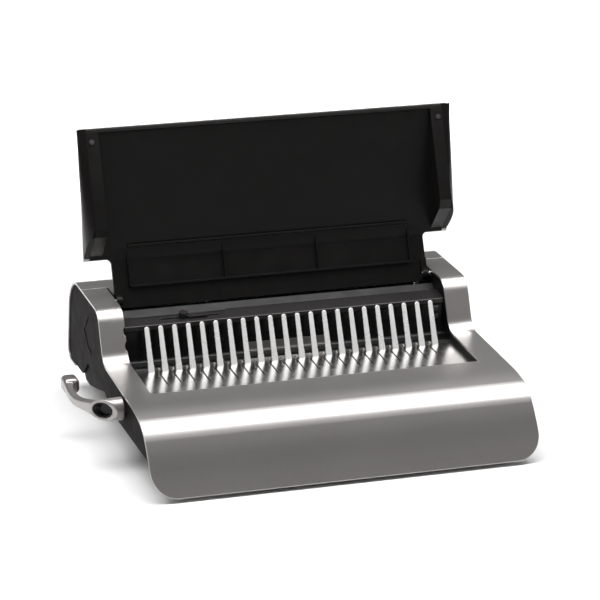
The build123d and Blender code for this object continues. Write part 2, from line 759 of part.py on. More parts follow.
def make_cams():
    """Three eccentric discs, all with their high side to the back when the machine rests."""
    cams = []
    for x in CAM_POSITIONS:
        disc = rod_x((CAM_AXIS[0] + CAM_THROW, CAM_AXIS[1]), CAM_RADIUS, x - 6, x + 6)
        cams.append(disc - rod_x(CAM_AXIS, SHAFT_RADIUS, x - 7, x + 7))
    return cams


def make_shaft_bearings():
    """Flanged bushes in the frame plates for the camshaft."""
    bushes = []
    for side in (-1, 1):
        inner = FRAME_HALF - FRAME_THICKNESS / 2 - 2.0
        outer = FRAME_HALF + FRAME_THICKNESS / 2
        bush = rod_x(CAM_AXIS, 10.0, inner, inner + 2.0) + rod_x(CAM_AXIS, 8.0, inner, outer)
        bush -= rod_x(CAM_AXIS, SHAFT_RADIUS + RUNNING, inner - 1, outer + 1)
        bushes.append(bush if side > 0 else mirrored(bush))
    return bushes


MOTOR_LEAN = 64.7
MOTOR_RADIUS = 15.0


def motor_axis():
    """Centre of the motor, one gear distance from the camshaft."""
    spread = GEAR_MODULE * (CAM_GEAR_TEETH + MOTOR_PINION_TEETH) / 2
    return (
        CAM_AXIS[0] + spread * cos(radians(MOTOR_LEAN)),
        CAM_AXIS[1] + spread * sin(radians(MOTOR_LEAN)),
    )


def make_cam_gear():
    return spur_gear(CAM_AXIS, CAM_GEAR_TEETH, 163.4, 169.4, MOTOR_LEAN, SHAFT_RADIUS)


def make_motor_pinion():
    phase = MOTOR_LEAN + 180 + 180 / MOTOR_PINION_TEETH
    return spur_gear(motor_axis(), MOTOR_PINION_TEETH, 163.2, 169.6, phase, 2.5)


def make_motor():
    """The gear motor bolted to the inside of the right frame plate, without its shaft."""
    face_x = FRAME_HALF - FRAME_THICKNESS / 2
    centre = motor_axis()
    can = rod_x(centre, MOTOR_RADIUS, 78.0, face_x - 18)
    can = fillet(can.edges().sort_by(Axis.X)[:1], 2.5)
    box = rod_x(centre, MOTOR_RADIUS + 1.5, face_x - 18, face_x)
    tail = rod_x(centre, 5.0, 74.5, 78.0)
    return can + box + tail - rod_x(centre, 3.0, face_x - 12, face_x + 1)


def make_motor_shaft():
    return rod_x(motor_axis(), 2.5, FRAME_HALF - FRAME_THICKNESS / 2 - 10, 171.0)


MOTOR_SCREW_ANGLES = (-30.0, 90.0, 210.0)


def motor_screw_centres():
    centre = motor_axis()
    reach = 12.0
    return [
        (centre[0] + reach * cos(radians(a)), centre[1] + reach * sin(radians(a)))
        for a in MOTOR_SCREW_ANGLES
    ]


def make_motor_screws():
    """Three cap screws through the frame plate into the motor's gearbox."""
    outer = FRAME_HALF + FRAME_THICKNESS / 2
    screws = []
    for centre in motor_screw_centres():
        shank = rod_x(centre, 1.5, outer - FRAME_THICKNESS, outer)
        screws.append(shank + rod_x(centre, 2.6, outer, outer + 1.8))
    return screws


def frame_outline():
    """Side outline of a frame plate."""
    points = [(198, PAN_FLOOR_TOP), (328, PAN_FLOOR_TOP), (328, 66), (338, 80), (338, 122)]
    points += [(300, 122), (282, 103), (258, 99.6), (231.5, 99.6), (231.5, 80), (214, 60), (198, 58)]
    return rounded_face(points, [0, 0, 4, 4, 22, 6, 8, 2, 2, 4, 4, 4])


def make_frame_plate(side):
    """One of the two steel plates that everything inside is mounted on."""
    low = FRAME_HALF - FRAME_THICKNESS / 2
    high = FRAME_HALF + FRAME_THICKNESS / 2
    plate = across(frame_outline(), low, high)
    for y in (206.0, 262.0, 318.0):
        tab = block(low - 13, low, y - 7, y + 7, PAN_FLOOR_TOP, PAN_FLOOR_TOP + FRAME_THICKNESS)
        plate += tab - rod_z(153.0, y, 1.55, 0, 20)
    plate -= rod_x(CAM_AXIS, 8.0, low - 1, high + 1)
    for centre in TIE_RODS:
        plate -= rod_x(centre, 3.0, low - 1, high + 1)
    if side < 0:
        return mirrored(plate)
    plate -= rod_x(motor_axis(), 4.0, low - 1, high + 1)
    for centre in motor_screw_centres():
        plate -= rod_x(centre, 1.55, low - 1, high + 1)
    return plate


TIE_RODS = [(222.0, 50.0), (298.0, 41.0)]


def make_tie_rods():
    """Shouldered rods that hold the frame plates apart."""
    rods = []
    inner = FRAME_HALF - FRAME_THICKNESS / 2
    for centre in TIE_RODS:
        rods.append(rod_x(centre, 4.0, -inner, inner) + rod_x(centre, 3.0, -inner - 4, inner + 4))
    return rods


def make_chip_tray():
    """The drawer that catches the punched chips, pulled out at the back."""
    front = 206.0
    rear = PAN_REAR - 4.5
    tray = block(-TRAY_HALF, TRAY_HALF, front, rear, 7.0, 28.0)
    tray = fillet(tray.edges().filter_by(Axis.Z), 5)
    inner = block(-TRAY_HALF + 2, TRAY_HALF - 2, front + 2, rear - 2, 9.0, 29.0)
    tray -= fillet(inner.edges().filter_by(Axis.Z), 3)
    face = block(-TRAY_HALF, TRAY_HALF, rear - 1, PAN_REAR + 3.0, 7.3, 30.7)
    face = fillet(face.edges().filter_by(Axis.Y), 2)
    scoop = block(-32, 32, PAN_REAR - 2.0, PAN_REAR + 4, 12, 24)
    scoop = fillet(scoop.edges().filter_by(Axis.Y), 5)
    return tray + face - scoop


# ---------------------------------------------------------------- electrics

def make_control_board():
    """The control board on the left, above the punch drive."""
    board = block(-150, -62, 302, 336, 96, 97.6)
    board += block(-140, -126, 308, 322, 97.6, 110)
    board += block(-112, -92, 306, 316, 97.6, 103)
    board += rod_z(-78, 314, 5.0, 97.6, 112)
    board += rod_z(-78, 327, 4.0, 97.6, 109)
    return board


def make_board_bracket():
    """The bent bracket that carries the control board from the left frame plate."""
    shelf = block(-FRAME_HALF + 1, -60, 300, 338, 92.5, 94)
    for x in (-146, -66):
        for y in (305, 333):
            shelf += rod_z(x, y, 2.5, 94, 96)
    return shelf


def make_power_supply():
    """The power supply block behind the camshaft."""
    supply = block(-FRAME_HALF + 1, -75, 323, 352, 40, 82)
    return fillet(supply.edges().filter_by(Axis.X), 2)


def make_power_inlet():
    """The three-pin mains socket in the rear wall."""
    body = block(INLET_X - 14, INLET_X + 14, 338, 365.0, POWER_Z - 10, POWER_Z + 10)
    body = fillet(body.edges().filter_by(Axis.Y), 2)
    rear = 365.0
    hollow = block(INLET_X - 11, INLET_X + 11, 345, rear + 1, POWER_Z - 7, POWER_Z + 7)
    corners = hollow.edges().filter_by(Axis.Y).sort_by(Axis.Z)[-2:]
    body -= chamfer(corners, 4)
    for x, z in ((INLET_X - 7, POWER_Z - 2), (INLET_X, POWER_Z + 2), (INLET_X + 7, POWER_Z - 2)):
        body += block(x - 0.8, x + 0.8, 344, rear - 4, z - 2, z + 2)
    return body


ROCKER_Y = 359.0


def make_switch_housing():
    """The frame of the mains switch."""
    housing = block(SWITCH_X - 10, SWITCH_X + 10, 344, 364.8, POWER_Z - 7.5, POWER_Z + 7.5)
    housing -= block(SWITCH_X - 8.2, SWITCH_X + 8.2, 350, 370, POWER_Z - 5.7, POWER_Z + 5.7)
    return housing - rod_z(SWITCH_X, ROCKER_Y, 1.05, POWER_Z - 6.8, POWER_Z + 6.8)


def make_switch_rocker():
    """The rocker, turning about an upright line so that one end stands out."""
    centre_y = ROCKER_Y
    outline = Polyline(
        (SWITCH_X - 7.4, centre_y + 3.0), (SWITCH_X, centre_y + 4.4), (SWITCH_X + 7.4, centre_y + 3.0),
        (SWITCH_X + 5.6, centre_y - 4.0), (SWITCH_X - 5.6, centre_y - 4.0), close=True,
    )
    rocker = extrude(make_face(outline), amount=10.4)
    rocker = Pos(0, 0, POWER_Z - 5.2) * rocker
    return rocker + rod_z(SWITCH_X, ROCKER_Y, 1.0, POWER_Z - 6.5, POWER_Z + 6.5)


# ---------------------------------------------------------------- lid

def lid_points(drop):
    """The lid's outer line in the closed pose, moved down into the lid by a distance."""
    slope = atan2(LID_BREAK[1] - LID_FRONT[1], LID_BREAK[0] - LID_FRONT[0])
    front = (LID_FRONT[0] + drop * sin(slope), LID_FRONT[1] - drop * cos(slope))
    bend = (LID_BREAK[0] + drop * 0.17, LID_BREAK[1] - drop)
    tail = (LID_TAIL[0], LID_TAIL[1] - drop)
    return front, bend, tail


def lid_layer(top, bottom, nose):
    """Section between two depths below the lid's outer line, shortened at the front by nose."""
    upper = lid_points(top)
    lower = lid_points(bottom)
    rise = (LID_BREAK[1] - LID_FRONT[1]) / (LID_BREAK[0] - LID_FRONT[0])
    points = [
        (upper[0][0] + nose, upper[0][1] + nose * rise), upper[1], upper[2],
        lower[2], lower[1], (lower[0][0] + nose, lower[0][1] + nose * rise),
    ]
    return rounded_face(points, [0.4, 8, 0.4, 0.4, 8, 0.4])


def lid_plan(sheet, wing_half):
    """Cuts a full-width sheet to the lid's plan: wide wings in front, a narrow neck behind."""
    neck_half = RECESS_HALF - 2.6
    notch = block(neck_half, HALF + 10, 217.2, 280, 60, 140)
    notch = fillet(notch.edges().filter_by(Axis.Z).sort_by(Axis.X)[:2], 5)
    plan = block(-wing_half, wing_half, 60, 280, 60, 140) - notch - mirrored(notch)
    return sheet & plan


def make_lid_cover():
    """The silver outer sheet of the lid."""
    sheet = across(lid_layer(0, LID_SKIN, 0), -LID_HALF, LID_HALF)
    return turned(lid_plan(sheet, LID_HALF), HINGE, -LID_OPEN_ANGLE)


SKIRT_INNER = 176.5
SKIRT_OUTER = 189.0


def skirt_outline():
    """Side outline of a wing's skirt: along the deck, up the shoulder, back along the lid."""
    top = lid_points(LID_SKIN + LID_WALL - 0.5)
    rest = 1.8
    points = [
        (93.5, lid_points(LID_SKIN + LID_WALL)[0][1] + 0.6),
        (94.0, deck_z(94.0) + rest),
        (190.5, deck_z(190.5) + rest),
        (199.0, 84.0),
        (214.6, 120.6),
        (top[1][0] - 5.0, top[1][1] - 0.6),
    ]
    return points


def make_lid_frame():
    """The black body of the lid: inner panel, box-shaped side skirts, ledges and hinge lugs."""
    sheet = across(lid_layer(LID_SKIN, LID_SKIN + LID_WALL, 0.8), -SKIRT_OUTER, SKIRT_OUTER)
    frame = lid_plan(sheet, SKIRT_OUTER)
    skirt = across(sharp_face(skirt_outline()), SKIRT_INNER, SKIRT_OUTER)
    frame += skirt
    frame += mirrored(skirt)
    # Front wall of the wings
    front = lid_points(LID_SKIN + 1)[0]
    nose = sharp_face([
        (front[0] + 1.2, front[1] + 0.2), (front[0] + 2.6, deck_z(90) + 2.0),
        (front[0] + 5.4, deck_z(90) + 2.0), (front[0] + 6.0, front[1] + 1.8),
    ])
    frame += across(nose, -SKIRT_OUTER, SKIRT_OUTER)
    # Ledges and a boxed frame on the inside of the neck
    for y, z_low in ((205.0, 112.5), (246.0, 117.5)):
        frame += block(-150, 150, y, y + 2.0, z_low, lid_surface_z(y) - LID_SKIN - 1)
    for x in (-151.5, -50.75, 49.25, 149.5):
        frame += block(x, x + 2.0, 206, 247, 117.5, 121.2)
    frame -= across(lid_layer(-3, LID_SKIN, -3), -HALF, HALF)
    # Hinge lugs
    for side in (-1, 1):
        x_low, x_high = sorted((side * 161.2, side * 167.2))
        lug = rod_x(HINGE, 5.6, x_low, x_high)
        lug += block(x_low, x_high, 244, 262, 119.0, lid_surface_z(250) - LID_SKIN - 0.5)
        frame += lug - block(x_low, x_high, 240, 270, lid_surface_z(250) - LID_SKIN - 0.5, 130)
    for side in (-1, 1):
        x_low, x_high = sorted((side * 160.0, side * 169.0))
        frame -= rod_x(HINGE, HINGE_PIN_RADIUS + RUNNING, x_low, x_high)
    return turned(frame, HINGE, -LID_OPEN_ANGLE)


def lid_surface_z(y):
    """Height of the closed lid's outer surface at a depth."""
    if y < LID_BREAK[0]:
        rise = (LID_BREAK[1] - LID_FRONT[1]) / (LID_BREAK[0] - LID_FRONT[0])
        return LID_FRONT[1] + (y - LID_FRONT[0]) * rise
    rise = (LID_TAIL[1] - LID_BREAK[1]) / (LID_TAIL[0] - LID_BREAK[0])
    return LID_BREAK[1] + (y - LID_BREAK[0]) * rise


CAP_FRONT = 90.5
CAP_REAR = 216.0
CAP_STATIONS = 7
CAP_BULGE = 8.8
CAP_FULLEST = 118.0


def make_lid_cap():
    """The glossy pillow-shaped cap on the right end of the lid, fullest near the lid's front."""
    sections = []
    for i in range(CAP_STATIONS):
        y = CAP_FRONT + (CAP_REAR - CAP_FRONT) * i / (CAP_STATIONS - 1)
        bulge = CAP_BULGE * (1 - ((y - CAP_FULLEST) / (CAP_REAR - CAP_FRONT)) ** 2 / 2)
        top = lid_surface_z(y) - LID_SKIN
        low = deck_z(y) + 1.8
        edge = (LID_HALF - 1.0, top)
        foot = (SKIRT_OUTER, low)
        middle = (SKIRT_OUTER + bulge, top - 0.42 * (top - low))
        outline = Polyline(foot, (SKIRT_OUTER, top), edge).edges() + [ThreePointArc(edge, middle, foot)]
        plane = Plane(origin=(0, y, 0), x_dir=(1, 0, 0), z_dir=(0, -1, 0))
        sections.append(plane * make_face(Wire(outline)))
    cap = loft(sections)
    behind = sharp_face([
        (190.5, deck_z(190.5) + 1.8), (199.0, 84.0), (214.6, 120.6), (218.0, 140.0), (240.0, 140.0),
        (240.0, 50.0), (190.5, 50.0),
    ])
    cap -= across(behind, SKIRT_OUTER - 1, HALF + 10)
    cap -= across(lid_layer(-6, LID_SKIN, -6), SKIRT_OUTER - 1, HALF + 10)
    under = sharp_face([(60, deck_z(60) + 1.8), (240, deck_z(240) + 1.8), (240, 0), (60, 0)])
    cap -= across(under, SKIRT_OUTER - 1, HALF + 10)
    return turned(cap, HINGE, -LID_OPEN_ANGLE)


def make_lid_bumpers():
    """Small rubber bumpers on the skirts, which land on the deck."""
    bumpers = []
    for side in (-1, 1):
        pad = rod_z(side * (SKIRT_OUTER - 5.0), 104.0, 2.6, deck_z(104.0) + 0.5, deck_z(104.0) + 3.0)
        pad &= block(-HALF, HALF, 90, 120, 0, deck_z(101.3) + 1.82)
        bumpers.append(turned(pad, HINGE, -LID_OPEN_ANGLE))
    return bumpers


BRACKET_OUTER = CHEEK_OUTER + 3.0


def make_hinge_bracket():
    """The steel bracket outside the right cheek that holds a hinge pin."""
    points = [(248, 92), (278, 92), (278, 104), (269, 122), (253, 122), (248, 110)]
    plate = across(rounded_face(points, [2, 2, 4, 5, 5, 4]), CHEEK_OUTER, BRACKET_OUTER)
    return plate - rod_x(HINGE, HINGE_PIN_RADIUS, CHEEK_OUTER - 1, BRACKET_OUTER + 1)


def make_hinge_pins():
    """Headed pins that the lid turns on."""
    pins = []
    for side in (-1, 1):
        pin = rod_x(HINGE, HINGE_PIN_RADIUS, 161.0, BRACKET_OUTER + 0.5)
        pin += rod_x(HINGE, HINGE_PIN_RADIUS + 1.8, BRACKET_OUTER, BRACKET_OUTER + 2.0)
        pin -= block(BRACKET_OUTER, BRACKET_OUTER + 3, 250, 270, HINGE[1] + 2.4, HINGE[1] + 9)
        pins.append(pin if side > 0 else mirrored(pin))
    return pins


# ---------------------------------------------------------------- lever

HUB_INNER = -HALF - 0.8
HUB_TIP = -HALF - 29.0
HUB_LENGTH = HUB_INNER - HUB_TIP
SHAFT_TIP = HALF + 3.0
CAP_RADIUS = 7.6
CAP_DEPTH = 6.0
CAP_WALL = 1.2
ARM_ROUTE = [
    (-214.0, 119.0, 57.0), (-222.5, 130.0, 56.7), (-226.0, 142.0, 55.4), (-229.5, 156.0, 53.6),
    (-231.9, 172.0, 52.6), (-232.2, 188.0, 53.0), (-230.0, 205.0, 54.0),
]
ARM_HEIGHTS = [19.0, 14.5, 11.4, 10.0, 9.6, 9.8, 11.5]
ARM_WIDTHS = [9.0, 9.0, 8.6, 8.2, 8.0, 8.2, 9.5]
PAD_CENTRE = (-227.7, 212.0, 54.2)
PAD_SIZE = (16.0, 21.0, 16.0)
PAD_ROUNDING = 5.0


def slant_plane():
    """The slanting plane that cuts the hub's outer end, facing forward and outward."""
    return Plane(origin=(HUB_TIP + 8.0, LEVER_AXIS[0], LEVER_AXIS[1]), z_dir=(-0.93, -1, 0))


def make_lever():
    """The cast lever: hub, sweeping arm and thumb pad, lying back along the side at rest."""
    hub = Rot(0, 90, 0) * Cone(HUB_TIP_RADIUS, HUB_RADIUS, HUB_LENGTH)
    hub = Pos(HUB_INNER - HUB_LENGTH / 2, LEVER_AXIS[0], LEVER_AXIS[1]) * hub
    route = Spline(*ARM_ROUTE)
    sections = []
    for i, (height, width) in enumerate(zip(ARM_HEIGHTS, ARM_WIDTHS)):
        place = i / (len(ARM_HEIGHTS) - 1)
        plane = Plane(origin=route @ place, x_dir=(0, 0, 1), z_dir=route % place)
        sections.append(plane * RectangleRounded(height, width, width / 3))
    arm = loft(sections)
    lever = hub + arm
    lever -= slant_plane() * (Pos(0, 0, 50) * Box(200, 200, 100))
    pad = fillet((Pos(*PAD_CENTRE) * Box(*PAD_SIZE)).edges(), PAD_ROUNDING)
    lever += pad
    pocket = rod_x(LEVER_AXIS, CAP_RADIUS, HUB_TIP - 20, HUB_INNER - 1)
    pocket &= slant_plane() * (Pos(0, 0, -CAP_DEPTH / 2) * Box(200, 200, CAP_DEPTH))
    lever -= pocket
    return lever - rod_x(LEVER_AXIS, SHAFT_RADIUS, -SHAFT_TIP, HUB_INNER + 1)


def make_lever_cap():
    """The dark oval cup pressed into the slanting end of the hub."""
    cup = rod_x(LEVER_AXIS, CAP_RADIUS - 0.1, HUB_TIP - 20, HUB_INNER - 1)
    cup &= slant_plane() * (Pos(0, 0, -CAP_DEPTH / 2) * Box(200, 200, CAP_DEPTH))
    hollow = rod_x(LEVER_AXIS, CAP_RADIUS - CAP_WALL, HUB_TIP - 20, HUB_INNER - 1)
    depth = CAP_DEPTH - CAP_WALL
    hollow &= slant_plane() * (Pos(0, 0, -depth / 2) * Box(200, 200, depth))
    return cup - hollow


SHAFT_END = 187.5


def make_lever_shaft():
    """The shaft across the machine that turns both lever gears."""
    return rod_x(LEVER_AXIS, SHAFT_RADIUS, -SHAFT_TIP, SHAFT_END)


def make_lever_gears():
    """A gear at each end of the lever shaft."""
    phase = bearing_angle(LEVER_AXIS, idler_axis())
    gear = spur_gear(LEVER_AXIS, LEVER_GEAR_TEETH, RACK_X[0], RACK_X[1], phase, SHAFT_RADIUS)
    return [gear, mirrored(gear)]


IDLER_PIN_RADIUS = 2.0


def make_idler_gears():
    """The idlers between the lever gears and the racks."""
    phase = bearing_angle(LEVER_AXIS, idler_axis()) + 180 + 180 / IDLER_TEETH
    bore = IDLER_PIN_RADIUS + RUNNING
    gear = spur_gear(idler_axis(), IDLER_TEETH, RACK_X[0] + 0.5, RACK_X[1] - 0.5, phase, bore)
    return [gear, mirrored(gear)]


def make_idler_pins():
    """Shouldered pins on the cheeks that the idlers turn on."""
    pin = rod_x(idler_axis(), IDLER_PIN_RADIUS, CHEEK_OUTER, RACK_X[1] + 0.5)
    pin += rod_x(idler_axis(), 4.0, CHEEK_OUTER, RACK_X[0])
    pin += rod_x(idler_axis(), 3.2, RACK_X[1], RACK_X[1] + 1.2)
    return [pin, mirrored(pin)]


def make_shaft_collars():
    """Flanged bushes in the cheeks for the lever shaft."""
    bush = rod_x(LEVER_AXIS, 7.0, RECESS_HALF, CHEEK_OUTER)
    bush += rod_x(LEVER_AXIS, 9.0, CHEEK_OUTER, CHEEK_OUTER + 2)
    bush -= rod_x(LEVER_AXIS, SHAFT_RADIUS + RUNNING, RECESS_HALF - 1, CHEEK_OUTER + 3)
    return [bush, mirrored(bush)]


# ---------------------------------------------------------------- writing

PARTS = {
    "front_shell": make_front_shell,
    "rear_cover": make_rear_cover,
    "side_panel_left": lambda: make_side_panel(-1),
    "side_panel_right": lambda: make_side_panel(1),
    "base_pan": make_base_pan,
    "carry_grips": lambda: [make_carry_grip(), mirrored(make_carry_grip())],
    "rubber_feet": make_rubber_feet,
    "fixing_screws": lambda: make_base_screws() + make_motor_screws(),
    "frame_plate_left": lambda: make_frame_plate(-1),
    "frame_plate_right": lambda: make_frame_plate(1),
    "tie_rods": make_tie_rods,
    "deck_plate": make_deck_plate,
    "comb_fingers": make_comb_fingers,
    "finger_rail": make_finger_rail,
    "hook_carrier": make_hook_carrier,
    "hook_racks": make_hook_racks,
    "guide_rods": make_guide_rods,
    "cheek_left": lambda: mirrored(make_cheek()),
    "cheek_right": make_cheek,
    "recess_trim": make_recess_trim,
    "trough_wall": make_trough,
    "trough_strip": make_trough_strip,
    "comb_gauge": make_comb_gauge,
    "punch_button": lambda: make_button(BUTTON_HEIGHTS[0]),
    "reverse_button": lambda: make_button(BUTTON_HEIGHTS[1]),
    "button_board": make_button_board,
    "throat_bar": make_throat_bar,
    "edge_guide": make_edge_guide,
    "die_plate": make_die_plate,
    "stripper_plate": make_stripper_plate,
    "paper_stop": make_paper_stop,
    "rear_guide": make_rear_guide,
    "punch_pins": make_punch_pins,
    "punch_bar": make_punch_bar,
    "pin_keeper": make_pin_keeper,
    "punch_guides": make_punch_guides,
    "camshaft": make_camshaft,
    "cams": make_cams,
    "cam_gear": make_cam_gear,
    "shaft_bearings": lambda: make_shaft_bearings() + make_shaft_collars(),
    "drive_motor": make_motor,
    "motor_pinion": lambda: [make_motor_shaft(), make_motor_pinion()],
    "chip_tray": make_chip_tray,
    "control_board": make_control_board,
    "board_bracket": make_board_bracket,
    "power_supply": make_power_supply,
    "power_inlet": make_power_inlet,
    "switch_housing": make_switch_housing,
    "switch_rocker": make_switch_rocker,
    "lid_frame": make_lid_frame,
    "lid_cover": make_lid_cover,
    "lid_caps": lambda: [make_lid_cap(), mirrored(make_lid_cap())],
    "lid_bumpers": make_lid_bumpers,
    "hinge_brackets": lambda: [make_hinge_bracket(), mirrored(make_hinge_bracket())],
    "hinge_pins": make_hinge_pins,
    "lever": make_lever,
    "lever_cap": make_lever_cap,
    "lever_drive": lambda: [make_lever_shaft()] + make_lever_gears(),
    "idler_gears": make_idler_gears,
    "idler_pins": make_idler_pins,
}


def write_part(name, made):
    """Moves a piece to the object's origin and writes it as one STEP file."""
    pieces = made if isinstance(made, list) else [made]
    solids = [solid for piece in pieces for solid in piece.solids()]
    shape = solids[0] if len(solids) == 1 else Compound(children=solids)
    export_step(Pos(0, -BODY_DEPTH / 2, 0) * shape, f"parts/{name}.step")


os.makedirs("parts", exist_ok=True)
for part_name, make in PARTS.items():
    write_part(part_name, make())
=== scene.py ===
import json
import math

import bpy
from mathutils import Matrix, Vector

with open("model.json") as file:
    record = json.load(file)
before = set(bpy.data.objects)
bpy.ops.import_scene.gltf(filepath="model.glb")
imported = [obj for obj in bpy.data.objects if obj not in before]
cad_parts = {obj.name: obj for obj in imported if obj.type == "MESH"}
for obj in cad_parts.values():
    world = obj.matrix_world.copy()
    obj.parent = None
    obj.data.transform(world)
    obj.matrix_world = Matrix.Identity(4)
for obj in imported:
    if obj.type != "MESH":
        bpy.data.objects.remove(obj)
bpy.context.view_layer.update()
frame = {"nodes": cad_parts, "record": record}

MM = 0.001

# An edge counts as worn, and on the satin paint as lit by a painted highlight, where the
# rounded and the flat normal part: from the first cosine on, and fully at the second.
WEAR_AND_SHEEN_START = 0.995
WEAR_AND_SHEEN_FULL = 0.86
BEVEL_SAMPLES = 6

SPLIT_ANGLE = math.radians(28)
CAST_VOXEL = 0.45 * MM
CAST_PASSES = 10

CAMERA_PLACE = (-0.8060, -2.6301, 0.9974)
CAMERA_AZIMUTH = math.radians(-17.107)
CAMERA_ELEVATION = math.radians(17.498)
CAMERA_LENS = 172.4
CAMERA_SENSOR = 36.0

FLOOR_HALF = 14.0

# Brightness of the room in front, behind and overhead. The first two blend over this much of
# a unit direction to either side of straight up, and the third comes in between two heights.
ROOM_COLOR = (1.0, 0.985, 0.98)
ROOM_FRONT = 0.24
ROOM_BACK = 0.15
ROOM_HIGH = 0.10
ROOM_BLEND = 0.4
HIGH_START = 0.5
HIGH_FULL = 0.74

NODES = frame["nodes"]
SLOT_OF = {part["node"]: part["material_slot"] for part in frame["record"]["subparts"]}


# ---------------------------------------------------------------- material helpers

class Recipe:
    """One node material, with short calls for the nodes that the recipes share."""

    def __init__(self, name):
        self.material = bpy.data.materials.new(name)
        self.material.use_nodes = True
        self.tree = self.material.node_tree
        self.tree.nodes.clear()
        self.output = self.node("ShaderNodeOutputMaterial")
        self.shader = self.node("ShaderNodeBsdfPrincipled")
        self.link(self.shader.outputs["BSDF"], self.output.inputs["Surface"])
        self.place = self.node("ShaderNodeTexCoord").outputs["Object"]

    def node(self, kind, **settings):
        """A new shader node with the given settings."""
        made = self.tree.nodes.new(kind)
        for key, value in settings.items():
            setattr(made, key, value)
        return made

    def link(self, start, end):
        self.tree.links.new(start, end)

    def set(self, **values):
        """Sets uniform values on the shader; an underscore stands for a space in a name."""
        for key, value in values.items():
            self.shader.inputs[key.replace("_", " ")].default_value = value

    def stretched(self, scale):
        """Object coordinates, in metres, stretched by a factor along each axis."""
        mapping = self.node("ShaderNodeMapping")
        mapping.inputs["Scale"].default_value = scale
        self.link(self.place, mapping.inputs["Vector"])
        return mapping.outputs["Vector"]

    def noise(self, scale, detail=3.0, roughness=0.5, place=None):
        """Fractal noise with this many features to the metre."""
        made = self.node("ShaderNodeTexNoise")
        made.inputs["Scale"].default_value = scale
        made.inputs["Detail"].default_value = detail
        made.inputs["Roughness"].default_value = roughness
        self.link(self.place if place is None else place, made.inputs["Vector"])
        return made.outputs["Fac"]

    def cells(self, scale):
        """Distance to the nearest of randomly placed points."""
        made = self.node("ShaderNodeTexVoronoi")
        made.inputs["Scale"].default_value = scale
        self.link(self.place, made.inputs["Vector"])
        return made.outputs["Distance"]

    def remap(self, value, low, high, start=0.0, end=1.0):
        """The value taken from start..end to low..high."""
        made = self.node("ShaderNodeMapRange")
        made.inputs["From Min"].default_value = start
        made.inputs["From Max"].default_value = end
        made.inputs["To Min"].default_value = low
        made.inputs["To Max"].default_value = high
        self.link(value, made.inputs["Value"])
        return made.outputs["Result"]

    def mixed(self, factor, first, second):
        """Colour between two colours; each is a tuple or a socket."""
        made = self.node("ShaderNodeMix", data_type="RGBA")
        for socket, value in ((made.inputs[6], first), (made.inputs[7], second)):
            if isinstance(value, tuple):
                socket.default_value = (*value, 1.0)
            else:
                self.link(value, socket)
        self.link(factor, made.inputs[0])
        return made.outputs[2]

    def bump(self, height, strength, distance, normal=None):
        """The normal tilted by a height field, on top of another normal."""
        made = self.node("ShaderNodeBump")
        made.inputs["Strength"].default_value = strength
        made.inputs["Distance"].default_value = distance
        self.link(height, made.inputs["Height"])
        if normal is not None:
            self.link(normal, made.inputs["Normal"])
        return made.outputs["Normal"]

    def soft_edges(self, radius):
        """Normals rounded over the piece's edges, and an edge mask from 0 to 1 for wear and
        painted edge highlights.
        """
        bevel = self.node("ShaderNodeBevel", samples=BEVEL_SAMPLES)
        bevel.inputs["Radius"].default_value = radius
        geometry = self.node("ShaderNodeNewGeometry")
        along = self.node("ShaderNodeVectorMath", operation="DOT_PRODUCT")
        self.link(bevel.outputs["Normal"], along.inputs[0])
        self.link(geometry.outputs["Normal"], along.inputs[1])
        edge_wear_and_sheen = self.remap(along.outputs["Value"], 0.0, 1.0, start=WEAR_AND_SHEEN_START, end=WEAR_AND_SHEEN_FULL)
        return bevel.outputs["Normal"], edge_wear_and_sheen

    def finish(self, color, roughness, normal):
        """Links the last three sockets and hands over the material."""
        self.link(color, self.shader.inputs["Base Color"])
        self.link(roughness, self.shader.inputs["Roughness"])
        self.link(normal, self.shader.inputs["Normal"])
        return self.material


def shade(color, factor):
    """The colour made lighter or darker by a factor."""
    return tuple(min(1.0, channel * factor) for channel in color)


# ---------------------------------------------------------------- material recipes

def satin_paint(name, color, roughness, metallic=0.9, edge=0.45 * MM):
    """Metallic satin lacquer: flake sparkle, faint orange peel, cleaner edges with a painted
    highlight on top of their rounded normals.
    """
    recipe = Recipe(name)
    recipe.set(Metallic=metallic, Coat_Weight=0.25, Coat_Roughness=0.12)
    flakes = recipe.noise(5200, detail=1.0)
    cloud = recipe.noise(9.0, detail=4.0)
    patches = recipe.remap(cloud, 0.0, 1.0, 0.3, 0.7)
    tone = recipe.mixed(patches, shade(color, 0.96), shade(color, 1.04))
    sparkle = recipe.mixed(recipe.remap(flakes, 0.0, 0.3, 0.45, 0.75), tone, shade(color, 1.14))
    normal, edge_wear_and_sheen = recipe.soft_edges(edge)
    # Painted highlight: the edge mask mixes in a colour half again as light along the rounded
    # edges.
    final = recipe.mixed(recipe.remap(edge_wear_and_sheen, 0.0, 0.35), sparkle, shade(color, 1.5))
    peel = recipe.noise(900, detail=2.0)
    normal = recipe.bump(peel, 0.012, 0.15 * MM, normal)
    grain = recipe.noise(2600, detail=2.0)
    rough = recipe.remap(grain, roughness - 0.03, roughness + 0.04, 0.3, 0.7)
    return recipe.finish(final, rough, normal)


def moulded_plastic(name, color, roughness, texture=0.12, worn_tone=1.7, shine=0.45):
    """Moulded plastic with a fine spark-eroded texture, dusty patches and paler edges."""
    recipe = Recipe(name)
    recipe.set(Specular_IOR_Level=shine)
    cloud = recipe.noise(22.0, detail=5.0, roughness=0.6)
    patches = recipe.remap(cloud, 0.0, 1.0, 0.3, 0.7)
    tone = recipe.mixed(patches, shade(color, 0.88), shade(color, 1.14))
    normal, edge_wear_and_sheen = recipe.soft_edges(0.4 * MM)
    final = recipe.mixed(recipe.remap(edge_wear_and_sheen, 0.0, 0.6), tone, shade(color, worn_tone))
    grain = recipe.cells(2400)
    normal = recipe.bump(grain, texture, 0.12 * MM, normal)
    smudge = recipe.noise(60.0, detail=4.0)
    rough = recipe.remap(smudge, roughness - 0.05, roughness + 0.07, 0.3, 0.7)
    return recipe.finish(final, rough, normal)


